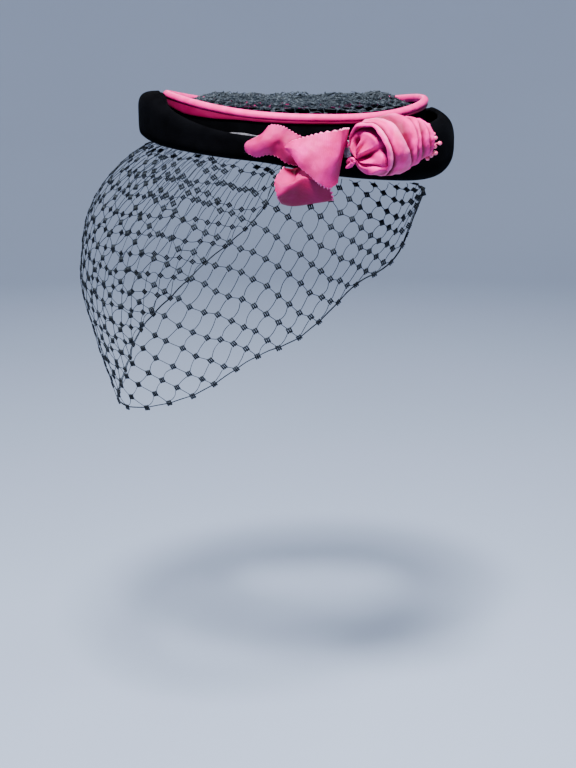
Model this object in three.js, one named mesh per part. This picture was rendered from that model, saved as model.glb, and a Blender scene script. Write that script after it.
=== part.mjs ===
// Fascinator: an open half hat of black velvet with a satin edge, two nets, a ribbon bow and a ribbon rose.
// Millimetres, +Z up. The wearer's face is towards -Y and the wearer's left side towards +X.
// Angles round the hat run from the face (0) towards the wearer's left (90).
import * as THREE from 'three';

// Ring: one open band that sits on the head
const ringLength = 153;
const ringWidth = 133;
const ringTurn = -20;
const ringSteps = 64;
const fitGap = 0.3;

// Collar: the upright inner wall that carries the satin piping
const collarWall = 2;
const pipingDiameter = 4.6;
const pipingHeight = 31.6;
const pipingDip = 8.5;
const pipingDipPower = 2.6;
const pipingTilt = 1.8;
const flangeWall = 1;

// Cuff: the velvet brim, turned up round the collar
const cuffHeight = 35;
const cuffDepth = 18.5;
const cuffWall = 3;

// Lining: the strip that shows above the cuff's top edge on the wearer's left
const liningWall = 0.8;
const liningRise = 2.2;
const liningTuck = 7;
const liningFrom = 44;
const liningTo = 136;

// Nets
const crownRise = 7.5;
const crownNetWall = 1.6;
const crownSectors = 16;
const crownRings = 4;
const veilDrop = 150;
const veilReach = 115;
const veilStandOff = 130;
const veilPuff = 0.8;
const veilWall = 1.5;
const veilColumns = 24;
const veilRows = 8;
const meshOpening = 0.76;

// Ribbon bow
const ribbonWidth = 25;
const ribbonWall = 1;
const bowAt = 82;
const pinkDepth = 1.8;

// Ribbon rose and its stamens
const roseLength = 39;
const roseDiameter = 33.5;
const roseTipDiameter = 15;
const roseWall = 1.3;
const roseLap = 1.1;
const roseRimAt = 99.5;
const roseTipAt = 131;
const roseHeight = 9;
const roseTipRise = 4.7;
const heartDepth = 9;
const heartFolds = 7;
const heartFoldDepth = 1.6;
const heartLip = 3;
const heartShift = 0.5;
const stemDiameter = 4;
const stemLength = 9;
const stemAlong = 1.064 * ribbonWidth;
const stemRise = 7.5;
const stemOut = -1.2;
const stamenCount = 8;
const stamenDiameter = 2.5;
const stamenThread = 0.8;
const stamenLength = 5;
const stamenSeat = 0.972;
const stamenGap = 0.75;

// Cuff sections, from the ring's front to its back. low and high are shares of cuffHeight, out is a share
// of cuffDepth, square shapes the bulge (small is boxy, 1 is round) and lean turns the top edge inwards.
const cuffSections = [
  { at: 0, low: 0.23, high: 1.0, out: 0.93, square: 0.45, lean: 87 },
  { at: 15, low: 0.17, high: 0.98, out: 0.92, square: 0.47, lean: 82 },
  { at: 26, low: 0.13, high: 0.78, out: 0.9, square: 0.5, lean: 58 },
  { at: 38, low: 0.09, high: 0.61, out: 0.86, square: 0.53, lean: 42 },
  { at: 52, low: 0.04, high: 0.46, out: 0.81, square: 0.55, lean: 33 },
  { at: 70, low: -0.03, high: 0.37, out: 0.78, square: 0.6, lean: 28 },
  { at: 95, low: -0.23, high: 0.37, out: 0.78, square: 0.6, lean: 28 },
  { at: 120, low: -0.35, high: 0.4, out: 0.86, square: 0.65, lean: 32 },
  { at: 145, low: -0.42, high: 0.54, out: 0.96, square: 0.75, lean: 50 },
  { at: 180, low: -0.4, high: 0.7, out: 1.0, square: 0.85, lean: 74 },
];

// How far the piping's flange hangs below the bead's middle, from the ring's front to its back
const flangeSections = [
  { at: 0, drop: 4.5 },
  { at: 14, drop: 6 },
  { at: 28, drop: 7 },
  { at: 44, drop: 5.6 },
  { at: 60, drop: 3.6 },
  { at: 180, drop: 3.2 },
];

// Veil ribs, round the head from the wearer's right to the left. hem and belly are shares of veilStandOff,
// drop is a share of veilDrop: hem and belly say how far out the veil stands, drop how far down the hem is.
const veilRibs = [
  { at: -1.0, hem: 0.7, belly: 0.74, drop: 0.16 },
  { at: -0.9, hem: 0.74, belly: 0.8, drop: 0.36 },
  { at: -0.72, hem: 0.8, belly: 0.9, drop: 0.56 },
  { at: -0.5, hem: 0.84, belly: 0.97, drop: 0.77 },
  { at: -0.25, hem: 0.82, belly: 1.0, drop: 0.93 },
  { at: 0.0, hem: 0.87, belly: 0.93, drop: 1.0 },
  { at: 0.2, hem: 0.76, belly: 0.83, drop: 0.88 },
  { at: 0.385, hem: 0.69, belly: 0.74, drop: 0.725 },
  { at: 0.54, hem: 0.65, belly: 0.7, drop: 0.64 },
  { at: 0.73, hem: 0.63, belly: 0.68, drop: 0.46 },
  { at: 0.89, hem: 0.65, belly: 0.675, drop: 0.36 },
  { at: 1.0, hem: 0.675, belly: 0.68, drop: 0.14 },
];

// Bow pieces, as shares of ribbonWidth, in the bow's own frame: along follows the ring towards its back,
// out stands off the cuff, top and low are the ribbon's two edges.
const tailFolds = [
  { along: 0.16, out: 0.03, top: 0.6, low: 0.0 },
  { along: -0.1, out: 0.08, top: 0.7, low: 0.02 },
  { along: -0.4, out: 0.2, top: 0.86, low: 0.06 },
  { along: -0.7, out: 0.2, top: 0.92, low: 0.16 },
  { along: -0.95, out: 0.14, top: 0.76, low: 0.22 },
  { along: -1.2, out: 0.1, top: 0.5, low: 0.34 },
];
const panelFolds = [
  { along: -0.36, out: 0.56, top: 0.4, low: 0.3 },
  { along: -0.12, out: 0.62, top: 0.58, low: -0.02 },
  { along: 0.2, out: 0.64, top: 0.7, low: -0.24 },
  { along: 0.5, out: 0.6, top: 0.76, low: -0.44 },
  { along: 0.72, out: 0.52, top: 0.78, low: -0.54 },
  { along: 0.84, out: 0.36, top: 0.8, low: -0.44 },
  { along: 0.96, out: -0.07, top: 0.82, low: -0.12 },
];
const loopFolds = [
  { along: 0.56, out: -0.01, top: 0.3, low: 0.06 },
  { along: 0.34, out: 0.16, top: 0.06, low: -0.5 },
  { along: 0.0, out: 0.22, top: -0.04, low: -0.72 },
  { along: -0.36, out: 0.24, top: -0.02, low: -0.72 },
  { along: -0.54, out: 0.36, top: -0.14, low: -0.62 },
  { along: -0.42, out: 0.48, top: -0.02, low: -0.78 },
  { along: -0.1, out: 0.5, top: -0.2, low: -0.86 },
  { along: 0.3, out: 0.46, top: -0.42, low: -0.8 },
  { along: 0.7, out: 0.38, top: -0.6, low: -0.72 },
];

// Bands of the wound ribbon, from the open rim (0) to the tip (1) of the rose
const roseBands = [
  { at: 0.0, wide: 0.84 },
  { at: 0.31, wide: 0.97 },
  { at: 0.55, wide: 0.95 },
  { at: 0.7, wide: 0.84 },
  { at: 0.84, wide: 0.74 },
  { at: 1.0, wide: 0.62 },
];

const radians = THREE.MathUtils.degToRad;

// The row of a table at any value of its "at" column, by a smooth curve through the rows
function rowAt(table, at) {
  const last = table.length - 1;
  let k = 0;
  while (k < last - 1 && at > table[k + 1].at) {
    k += 1;
  }
  const before = table[Math.max(k - 1, 0)];
  const from = table[k];
  const to = table[k + 1];
  const after = table[Math.min(k + 2, last)];
  const span = to.at - from.at;
  const t = THREE.MathUtils.clamp((at - from.at) / span, 0, 1);
  const row = { at };
  for (const name of Object.keys(from).filter((key) => key !== 'at')) {
    const slopeFrom = ((to[name] - before[name]) / (to.at - before.at)) * span;
    const slopeTo = ((after[name] - from[name]) / (after.at - from.at)) * span;
    const bend = 2 * (from[name] - to[name]) + slopeFrom + slopeTo;
    const lean = -3 * (from[name] - to[name]) - 2 * slopeFrom - slopeTo;
    row[name] = ((bend * t + lean) * t + slopeFrom) * t + from[name];
  }
  return row;
}

// Fold rows spaced evenly, so that rowAt can be read along the ribbon from 0 to 1
function evenly(folds) {
  return folds.map((fold, k) => ({ ...fold, at: k / (folds.length - 1) }));
}

// A closed mesh from points and quads; a quad with two equal corners is a triangle
function solid(points, quads) {
  const index = [];
  for (const [a, b, c, d] of quads) {
    index.push(a, b, c);
    if (d !== undefined) {
      index.push(a, c, d);
    }
  }
  const geometry = new THREE.BufferGeometry();
  const numbers = points.flatMap((point) => point.toArray());
  geometry.setAttribute('position', new THREE.Float32BufferAttribute(numbers, 3));
  geometry.setIndex(index);
  geometry.computeVertexNormals();
  return geometry;
}

// A ring swept through closed sections: sectionAt(angle) gives each section's [out, z] corners
function sweptRing(sectionAt) {
  const points = [];
  const quads = [];
  let corners = 0;
  for (let i = 0; i < ringSteps; i += 1) {
    const angle = (360 * i) / ringSteps;
    const section = sectionAt(angle);
    corners = section.length;
    for (const [out, z] of section) {
      points.push(ringPoint(angle, out, z));
    }
  }
  for (let i = 0; i < ringSteps; i += 1) {
    const next = ((i + 1) % ringSteps) * corners;
    for (let k = 0; k < corners; k += 1) {
      const beside = (k + 1) % corners;
      quads.push([i * corners + k, next + k, next + beside, i * corners + beside]);
    }
  }
  return solid(points, quads);
}

// The unit normal of surface(u, v) where u and v run from 0 to 1
function normalAt(surface, u, v) {
  const step = 0.004;
  const alongU = surface(u + step, v).sub(surface(u - step, v));
  const alongV = surface(u, v + step).sub(surface(u, v - step));
  return alongU.cross(alongV).normalize();
}

// A sheet of even thickness on surface(u, v); looped joins its two u ends
function sheet(surface, columns, rows, thickness, looped = false) {
  const points = [];
  const quads = [];
  const across = looped ? columns : columns + 1;
  for (let j = 0; j <= rows; j += 1) {
    for (let i = 0; i < across; i += 1) {
      const u = i / columns;
      const v = j / rows;
      const lift = normalAt(surface, u, v).multiplyScalar(thickness / 2);
      points.push(surface(u, v).add(lift), surface(u, v).sub(lift));
    }
  }
  const front = (i, j) => 2 * (j * across + (i % across));
  const back = (i, j) => front(i, j) + 1;
  for (let j = 0; j < rows; j += 1) {
    for (let i = 0; i < columns; i += 1) {
      quads.push([front(i, j), front(i + 1, j), front(i + 1, j + 1), front(i, j + 1)]);
      quads.push([back(i, j), back(i, j + 1), back(i + 1, j + 1), back(i + 1, j)]);
    }
  }
  for (let i = 0; i < columns; i += 1) {
    quads.push([back(i, 0), back(i + 1, 0), front(i + 1, 0), front(i, 0)]);
    quads.push([front(i, rows), front(i + 1, rows), back(i + 1, rows), back(i, rows)]);
  }
  if (!looped) {
    for (let j = 0; j < rows; j += 1) {
      quads.push([front(0, j), front(0, j + 1), back(0, j + 1), back(0, j)]);
      quads.push([back(columns, j), back(columns, j + 1), front(columns, j + 1), front(columns, j)]);
    }
  }
  return solid(points, quads);
}

// A net of diamond gaps on surface(u, v): knots stand where column + row is even, gaps where it is odd.
// Half gaps along the border stay closed, as the net's sewn edge and its hem.
function net(surface, columns, rows, thickness, looped = false) {
  const points = [];
  const quads = [];
  const knots = new Map();
  const around = [[0, -1], [1, 0], [0, 1], [-1, 0]];
  const inside = ([i, j]) => j >= 0 && j <= rows && (looped || (i >= 0 && i <= columns));
  const place = (i, j) => {
    const u = i / columns;
    const v = j / rows;
    const lift = normalAt(surface, u, v).multiplyScalar(thickness / 2);
    points.push(surface(u, v).add(lift), surface(u, v).sub(lift));
    return points.length - 2;
  };
  const knot = ([i, j]) => {
    const column = looped ? (i + columns) % columns : i;
    const key = `${column},${j}`;
    if (!knots.has(key)) {
      knots.set(key, place(column, j));
    }
    return knots.get(key);
  };
  const frameGap = (i, j, corners) => {
    const gap = around.map(([di, dj]) => place(i + di * meshOpening, j + dj * meshOpening));
    for (let k = 0; k < 4; k += 1) {
      const n = (k + 1) % 4;
      quads.push([corners[k], corners[n], gap[n], gap[k]]);
      quads.push([gap[k] + 1, gap[n] + 1, corners[n] + 1, corners[k] + 1]);
      quads.push([gap[k], gap[n], gap[n] + 1, gap[k] + 1]);
    }
  };
  for (let j = 0; j <= rows; j += 1) {
    for (let i = 0; i <= (looped ? columns - 1 : columns); i += 1) {
      const beside = around.map(([di, dj]) => [i + di, j + dj]);
      const outside = beside.findIndex((corner) => !inside(corner));
      if ((i + j) % 2 === 1 && outside === -1) {
        frameGap(i, j, beside.map(knot));
      } else if ((i + j) % 2 === 1) {
        const [a, b, c] = [1, 2, 3].map((k) => knot(beside[(outside + k) % 4]));
        quads.push([a, b, c]);
        quads.push([a + 1, c + 1, b + 1]);
        quads.push([a, c, c + 1, a + 1]);
      }
    }
  }
  return solid(points, quads);
}

// A point by its angle on the ring, its distance out from the collar's middle and its height
function ringPoint(angle, out, z) {
  const a = radians(angle);
  const halfWidth = ringWidth / 2;
  const halfLength = ringLength / 2;
  const outward = new THREE.Vector3(Math.sin(a) * halfLength, -Math.cos(a) * halfWidth, 0).normalize();
  const point = new THREE.Vector3(halfWidth * Math.sin(a), -halfLength * Math.cos(a), z);
  return point.addScaledVector(outward, out).applyAxisAngle(new THREE.Vector3(0, 0, 1), radians(ringTurn));
}

// How far an angle of the ring is from its front; both sides are alike
function fromFront(angle) {
  return Math.abs(THREE.MathUtils.euclideanModulo(angle + 180, 360) - 180);
}

// The cuff's sizes at an angle of the ring
function cuffAt(angle) {
  const row = rowAt(cuffSections, fromFront(angle));
  return {
    low: row.low * cuffHeight,
    high: row.high * cuffHeight,
    out: row.out * cuffDepth,
    square: row.square,
    lean: row.lean,
  };
}

// The piping is high at the front and back and dips at both sides
function pipingZ(angle) {
  const along = Math.cos(radians(angle));
  return pipingHeight + pipingTilt * along - pipingDip * (1 - Math.abs(along) ** pipingDipPower);
}

const collarFace = collarWall / 2;
const cuffInner = collarFace + fitGap;

// One point of the cuff's section, from its foot (share 0) to its top edge (share 1)
function cuffCurve(cuff, share, inset) {
  const turn = radians(-90 + share * (90 + cuff.lean));
  const rise = (t) => Math.sign(Math.sin(t)) * Math.abs(Math.sin(t)) ** cuff.square;
  const top = rise(radians(cuff.lean));
  const z = cuff.low + ((cuff.high - cuff.low) * (rise(turn) + 1)) / (top + 1);
  const out = cuffInner + (cuff.out - cuffInner - inset) * Math.max(Math.cos(turn), 0) ** cuff.square;
  return [out, z - inset * Math.sin(turn)];
}

function cuffSection(angle) {
  const cuff = cuffAt(angle);
  const steps = 7;
  const face = [];
  const back = [];
  for (let k = 0; k <= steps; k += 1) {
    face.push(cuffCurve(cuff, k / steps, 0));
    back.unshift(cuffCurve(cuff, k / steps, cuffWall));
  }
  return [...face, ...back];
}

function collarSection(angle) {
  const foot = cuffAt(angle).low;
  const head = pipingZ(angle) - pipingDiameter / 2 - fitGap;
  return [[-collarFace, foot], [collarFace, foot], [collarFace, head], [-collarFace, head]];
}

// The piping's bead with the flange of the same satin that hangs outside the collar
function pipingSection(angle) {
  const centre = pipingZ(angle);
  const radius = pipingDiameter / 2;
  const flangeIn = collarFace + fitGap;
  const flangeOut = flangeIn + flangeWall;
  const last = 2 * Math.PI - Math.acos(Math.min(flangeIn / radius, 1));
  const foot = centre - rowAt(flangeSections, fromFront(angle)).drop;
  const section = [[flangeIn, foot], [flangeOut, foot]];
  const steps = 7;
  for (let k = 0; k <= steps; k += 1) {
    const turn = (last * k) / steps;
    section.push([radius * Math.cos(turn), centre + radius * Math.sin(turn)]);
  }
  return section;
}

function liningSurface(u, v) {
  const angle = THREE.MathUtils.lerp(liningFrom, liningTo, u);
  const cuff = cuffAt(angle);
  const [out, z] = cuffCurve(cuff, 1, cuffWall);
  const ease = Math.sin(Math.PI * THREE.MathUtils.clamp(u, 0, 1));
  const top = z + liningRise * ease;
  return ringPoint(angle, out - fitGap - liningWall / 2, THREE.MathUtils.lerp(z - liningTuck, top, v));
}

// The crown net is a shallow dome inside the collar; u goes round and v from its middle to its edge
function crownSurface(u, v) {
  const angle = 360 * u;
  const rim = pipingZ(angle) - pipingDiameter;
  const middle = pipingHeight - pipingDip + crownRise;
  const share = 0.08 + 0.92 * v;
  const edge = ringPoint(angle, -collarFace - fitGap - crownNetWall / 2, 0);
  return new THREE.Vector3(edge.x * share, edge.y * share, THREE.MathUtils.lerp(middle, rim, share ** 2.2));
}

// The veil hangs from under the cuff; u goes round the face and v from the rim to the hem
function veilSurface(u, v) {
  const side = THREE.MathUtils.lerp(-1, 1, u);
  const angle = side * veilReach;
  const rib = rowAt(veilRibs, side);
  const cuff = cuffAt(angle - ringTurn);
  const rim = ringPoint(angle - ringTurn, cuffInner + (cuff.out - cuffInner) * 0.4, 0);
  const toward = new THREE.Vector3(Math.sin(radians(angle)), -Math.cos(radians(angle)), 0);
  const rimZ = cuff.low - fitGap - veilWall / 2;
  const belly = toward.clone().multiplyScalar(rib.belly * veilStandOff);
  const hem = toward.clone().multiplyScalar(rib.hem * veilStandOff);
  const w = Math.sign(v) * Math.abs(v) ** veilPuff;
  const point = rim.multiplyScalar((1 - w) * (1 - 2 * w));
  point.addScaledVector(belly, 4 * w * (1 - w));
  point.addScaledVector(hem, w * (2 * w - 1));
  point.z = THREE.MathUtils.lerp(rimZ, -rib.drop * veilDrop, v);
  return point;
}

// The bow's own frame stands on the cuff: x along the ring towards its back, y up, z outwards
function frameOn(angle, out, z) {
  const origin = ringPoint(angle, out, z);
  const outward = ringPoint(angle, out + 1, z).sub(origin).normalize();
  const up = new THREE.Vector3(0, 0, 1);
  const along = up.clone().cross(outward);
  const matrix = new THREE.Matrix4().makeBasis(along, up, outward);
  return matrix.setPosition(origin);
}

// A ribbon through its fold rows; its last row is cut with pinking teeth when toothed
function ribbonSurface(folds, toothed = false) {
  const table = evenly(folds);
  return (u, v) => {
    const row = rowAt(table, u);
    const tooth = toothed ? pinkDepth * Math.abs(((v * 6) % 1) - 0.5) * Math.max(u - 0.75, 0) * 4 : 0;
    const y = THREE.MathUtils.lerp(row.low, row.top, v) * ribbonWidth;
    return new THREE.Vector3(row.along * ribbonWidth - tooth, y, row.out * ribbonWidth);
  };
}

// The rose's outline: its radius at a share of its length, with a step where each band laps the next
function roseRadius(u, v) {
  const slant = 0.035 * Math.cos(2 * Math.PI * u - 0.8);
  const at = THREE.MathUtils.clamp(v + slant * Math.sin(Math.PI * v), 0, 1);
  const band = roseBands.findLast((row) => row.at <= at + 1e-9) ?? roseBands[0];
  const next = roseBands[Math.min(roseBands.indexOf(band) + 1, roseBands.length - 1)];
  const span = Math.max(next.at - band.at, 1e-6);
  const within = THREE.MathUtils.clamp((at - band.at) / span, 0, 1);
  const wide = THREE.MathUtils.lerp(band.wide, next.wide, within);
  const lap = band.at > 0 ? roseLap * (1 - within) : 0;
  return (wide * roseDiameter) / 2 - lap;
}

function roseSurface(u, v) {
  const turn = -2 * Math.PI * u;
  const close = v > 0.94 ? Math.cos(((v - 0.94) / 0.06) * 1.4) : 1;
  const radius = roseRadius(u, v) * close - roseWall / 2;
  return new THREE.Vector3(radius * Math.cos(turn), radius * Math.sin(turn), v * roseLength);
}

// The gathered heart of the rose: its folds run into a stitched point inside and below, off the middle
function heartSurface(u, v) {
  const turn = -2 * Math.PI * u;
  const reach = roseRadius(u, 0.04) - roseWall - fitGap - ribbonWall / 2;
  const radius = THREE.MathUtils.lerp(0.12, 1, v) * reach;
  const fold = Math.cos(heartFolds * turn) * Math.sin(Math.PI * Math.min(v * 0.8, 1)) * heartFoldDepth;
  const depth = THREE.MathUtils.lerp(heartDepth, heartLip, v * Math.abs(v)) + fold;
  const gather = new THREE.Vector3(-0.86, 0.5, 0).multiplyScalar((1 - v) * heartShift * reach);
  return gather.add(new THREE.Vector3(radius * Math.cos(turn), radius * Math.sin(turn), depth));
}

// How far the rose has to move outwards to lie against the cuff along its whole length
function roseShift(rim, axis) {
  let shift = -roseDiameter;
  for (let share = 0; share <= 1; share += 0.05) {
    const centre = rim.clone().addScaledVector(axis, share * roseLength);
    const radius = roseRadius(0.5, share);
    for (let angle = roseRimAt - 25; angle <= roseTipAt + 25; angle += 2) {
      for (let height = 0; height <= 1; height += 0.1) {
        const [out, z] = cuffCurve(cuffAt(angle), height, 0);
        shift = Math.max(shift, radius + fitGap - ringPoint(angle, out, z).distanceTo(centre));
      }
    }
  }
  return shift;
}

// A stamen: a short thread that ends in a round bead, along +Z from the rose
function stamenProfile() {
  const thread = stamenThread / 2;
  const bead = stamenDiameter / 2;
  const middle = stamenLength - bead;
  const profile = [new THREE.Vector2(0, 0), new THREE.Vector2(thread, 0)];
  for (let k = 0; k <= 5; k += 1) {
    const turn = THREE.MathUtils.lerp(Math.asin(thread / bead) - Math.PI / 2 + 0.02, Math.PI / 2, k / 5);
    profile.push(new THREE.Vector2(Math.max(bead * Math.cos(turn), 0), middle + bead * Math.sin(turn)));
  }
  return profile;
}

const velvet = new THREE.MeshStandardMaterial({ color: 0x08080b, roughness: 0.95, metalness: 0 });
const satin = new THREE.MeshStandardMaterial({ color: 0xd0577f, roughness: 0.42, metalness: 0 });
const darkNet = new THREE.MeshStandardMaterial({ color: 0x1a1d24, roughness: 0.7, metalness: 0 });
const paleLining = new THREE.MeshStandardMaterial({ color: 0x9a9ba6, roughness: 0.8, metalness: 0 });
const stemWrap = new THREE.MeshStandardMaterial({ color: 0x6d6478, roughness: 0.7, metalness: 0 });

const group = new THREE.Group();

function add(name, geometry, material, parent = group) {
  const mesh = new THREE.Mesh(geometry, material);
  mesh.name = name;
  parent.add(mesh);
  return mesh;
}

// Velvet ring, satin edge and the lining strip
add('velvet_cuff', sweptRing(cuffSection), velvet.clone());
add('velvet_collar', sweptRing(collarSection), velvet.clone());
add('satin_piping', sweptRing(pipingSection), satin.clone());
add('cuff_lining', sheet(liningSurface, 20, 2, liningWall), paleLining.clone());

// Nets
add('crown_net', net(crownSurface, crownSectors, crownRings, crownNetWall, true), darkNet.clone());
add('face_veil', net(veilSurface, veilColumns, veilRows, veilWall), darkNet.clone());

// Bow
const bow = new THREE.Group();
bow.applyMatrix4(frameOn(bowAt, cuffAt(bowAt).out + fitGap, 0));
add('bow_tail', sheet(ribbonSurface(tailFolds, true), 10, 12, ribbonWall), satin.clone(), bow);
add('bow_panel', sheet(ribbonSurface(panelFolds), 12, 4, ribbonWall), satin.clone(), bow);
add('bow_loop', sheet(ribbonSurface(loopFolds), 16, 4, ribbonWall), satin.clone(), bow);
group.add(bow);

// Rose: it lies along the cuff with its open rim towards the face
const roseRim = ringPoint(roseRimAt, cuffAt(roseRimAt).out + roseDiameter / 2, roseHeight);
const roseTip = ringPoint(roseTipAt, cuffAt(roseTipAt).out + roseTipDiameter / 2, roseHeight + roseTipRise);
const roseAxis = roseTip.clone().sub(roseRim).normalize();
const roseOutward = new THREE.Vector3(roseAxis.y, -roseAxis.x, 0).normalize();
for (let pass = 0; pass < 4; pass += 1) {
  roseRim.addScaledVector(roseOutward, roseShift(roseRim, roseAxis));
}
const rose = new THREE.Group();
rose.position.copy(roseRim);
rose.quaternion.setFromUnitVectors(new THREE.Vector3(0, 0, 1), roseAxis);
add('rose_wrap', sheet(roseSurface, 24, 18, roseWall, true), satin.clone(), rose);
add('rose_heart', sheet(heartSurface, 28, 4, ribbonWall, true), satin.clone(), rose);
const stemShape = new THREE.CylinderGeometry(stemDiameter / 2, stemDiameter / 2, stemLength, 14);
const stem = add('rose_stem', stemShape, stemWrap.clone(), bow);
stem.position.set(stemAlong, stemRise, stemOut);
for (let k = 0; k < stamenCount; k += 1) {
  const stamen = add(`stamen_${k + 1}`, new THREE.LatheGeometry(stamenProfile(), 6), satin.clone(), rose);
  const u = (k + 0.5) / stamenCount;
  const way = normalAt(roseSurface, u, stamenSeat);
  way.multiplyScalar(Math.sign(way.z));
  stamen.position.copy(roseSurface(u, stamenSeat)).addScaledVector(way, roseWall / 2 + stamenGap);
  stamen.quaternion.setFromUnitVectors(new THREE.Vector3(0, 0, 1), way);
}
group.add(rose);

export default group;
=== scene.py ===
# Fascinator: an open half hat of black velvet with a satin edge, two nets, a ribbon bow and a ribbon rose.
# The frame is in metres with +Z up and the wearer's face towards -Y. Sizes in the dictionaries are millimetres.
import math
import random

import bmesh
import bpy
from mathutils import Matrix, Vector, noise


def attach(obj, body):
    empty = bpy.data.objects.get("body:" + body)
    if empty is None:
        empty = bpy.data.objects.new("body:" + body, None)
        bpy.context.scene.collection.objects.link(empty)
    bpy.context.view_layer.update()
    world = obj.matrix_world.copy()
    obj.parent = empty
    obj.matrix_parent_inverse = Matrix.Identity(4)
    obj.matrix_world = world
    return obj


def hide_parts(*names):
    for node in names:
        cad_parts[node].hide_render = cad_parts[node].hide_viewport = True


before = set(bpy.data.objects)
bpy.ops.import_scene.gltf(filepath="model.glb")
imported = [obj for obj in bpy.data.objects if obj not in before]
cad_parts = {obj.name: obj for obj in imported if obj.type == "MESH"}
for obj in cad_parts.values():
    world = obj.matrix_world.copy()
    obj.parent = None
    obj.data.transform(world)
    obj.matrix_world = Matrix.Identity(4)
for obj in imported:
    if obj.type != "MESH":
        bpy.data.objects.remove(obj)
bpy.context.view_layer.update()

scene = bpy.context.scene
mm = 0.001
weld = 0.002 * mm  # points nearer than this become one
chance = random.Random(12)

print("camera")
view = {
    "azimuth": 60,  # degrees from the face towards the wearer's left
    "elevation": 5,
    "distance": 0.905,
    "focalPixels": 1493,
    "framePixels": (576, 768),
    "originAt": (296, 150),  # where the middle of the ring lands
    "sensor": 36,
}


def addCamera():
    turn, rise = math.radians(view["azimuth"]), math.radians(view["elevation"])
    wide, tall = view["framePixels"]
    aside = math.atan2(view["originAt"][0] - wide / 2, view["focalPixels"])
    tilt = rise + math.atan2(tall / 2 - view["originAt"][1], view["focalPixels"])
    back = Vector((math.sin(turn) * math.cos(rise), -math.cos(turn) * math.cos(rise), math.sin(rise)))
    ahead = -Vector((math.sin(turn) * math.cos(tilt), -math.cos(turn) * math.cos(tilt), math.sin(tilt)))
    ahead.rotate(Matrix.Rotation(aside, 3, "Z"))
    lens = bpy.data.cameras.new("camera")
    lens.lens = view["focalPixels"] / tall * view["sensor"]
    lens.sensor_width = view["sensor"]
    camera = bpy.data.objects.new("camera", lens)
    camera.location = back * view["distance"]
    camera.rotation_euler = ahead.to_track_quat("-Z", "Y").to_euler()
    scene.collection.objects.link(camera)
    scene.camera = camera


addCamera()


def mix(start, end, share):
    return start + (end - start) * share


def clamp(value, low=0.0, high=1.0):
    return max(low, min(high, value))


def ease(share):
    share = clamp(share)
    return share * share * (3 - 2 * share)


def rowAt(table, at):  # the table's values at any place in its first column, on a smooth curve through the rows
    last = len(table) - 1
    k = 0
    while k < last - 1 and at > table[k + 1][0]:
        k += 1
    before, start, end, after = (table[min(max(j, 0), last)] for j in (k - 1, k, k + 1, k + 2))
    span = end[0] - start[0]
    t = clamp((at - start[0]) / span)
    values = []
    for j in range(1, len(start)):
        slopeStart = (end[j] - before[j]) / (end[0] - before[0]) * span
        slopeEnd = (after[j] - start[j]) / (after[0] - start[0]) * span
        bend = 2 * (start[j] - end[j]) + slopeStart + slopeEnd
        lean = 3 * (end[j] - start[j]) - 2 * slopeStart - slopeEnd
        values.append(((bend * t + lean) * t + slopeStart) * t + start[j])
    return values


def splineAt(points, share):  # a point on the smooth curve through points, from 0 to 1
    place = clamp(share) * (len(points) - 1)
    k = min(int(place), len(points) - 2)
    t = place - k
    start, end = points[k], points[k + 1]
    slopeStart = (end - points[max(k - 1, 0)]) / 2
    slopeEnd = (points[min(k + 2, len(points) - 1)] - start) / 2
    bend = (start - end) * 2 + slopeStart + slopeEnd
    lean = (end - start) * 3 - slopeStart * 2 - slopeEnd
    return ((bend * t + lean) * t + slopeStart) * t + start


def waves(point, size, seed=0.0):  # soft even noise from -1 to 1, size in millimetres
    return noise.noise(point / size + Vector((seed, seed * 1.7, -seed)))


def ripples(point, table):  # rows of size, seed and height
    return sum(waves(point, size, seed) * height for size, seed, height in table)


def clothGrid(columns, rows, surface, size, shadeAndPaleAt=None):
    # a sheet on surface(u, v), its weave laid out in millimetres
    cloth = bmesh.new()
    shadeAndPale = cloth.verts.layers.float.new("shadeAndPale")  # over 0 paler, at cut edges and as painted highlight; under 0 painted shade, as inside a fold
    weave = cloth.loops.layers.uv.new("weave")
    bmesh.ops.create_grid(cloth, x_segments=columns, y_segments=rows, size=0.5)
    for face in cloth.faces:
        for loop in face.loops:
            loop[weave].uv = ((loop.vert.co.x + 0.5) * size[0], (loop.vert.co.y + 0.5) * size[1])
    for vert in cloth.verts:
        u, v = vert.co.x + 0.5, vert.co.y + 0.5
        vert[shadeAndPale] = shadeAndPaleAt(u, v) if shadeAndPaleAt else 0.0
        vert.co = surface(u, v) * mm
    bmesh.ops.remove_doubles(cloth, verts=cloth.verts, dist=weld)
    bmesh.ops.recalc_face_normals(cloth, faces=cloth.faces)
    return cloth


def addPiece(name, shape, finish, nodes, wall=0.0, rounds=0):
    mesh = bpy.data.meshes.new(name)
    shape.to_mesh(mesh)
    shape.free()
    mesh.shade_smooth()
    mesh.materials.append(finish)
    piece = bpy.data.objects.new(name, mesh)
    scene.collection.objects.link(piece)
    if wall:
        thick = piece.modifiers.new("wall", "SOLIDIFY")
        thick.thickness = wall * mm
        thick.offset = 0
    if rounds:
        soft = piece.modifiers.new("soft", "SUBSURF")
        soft.levels = soft.render_levels = rounds
    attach(piece, "root")
    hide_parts(*nodes)
    return piece


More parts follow.
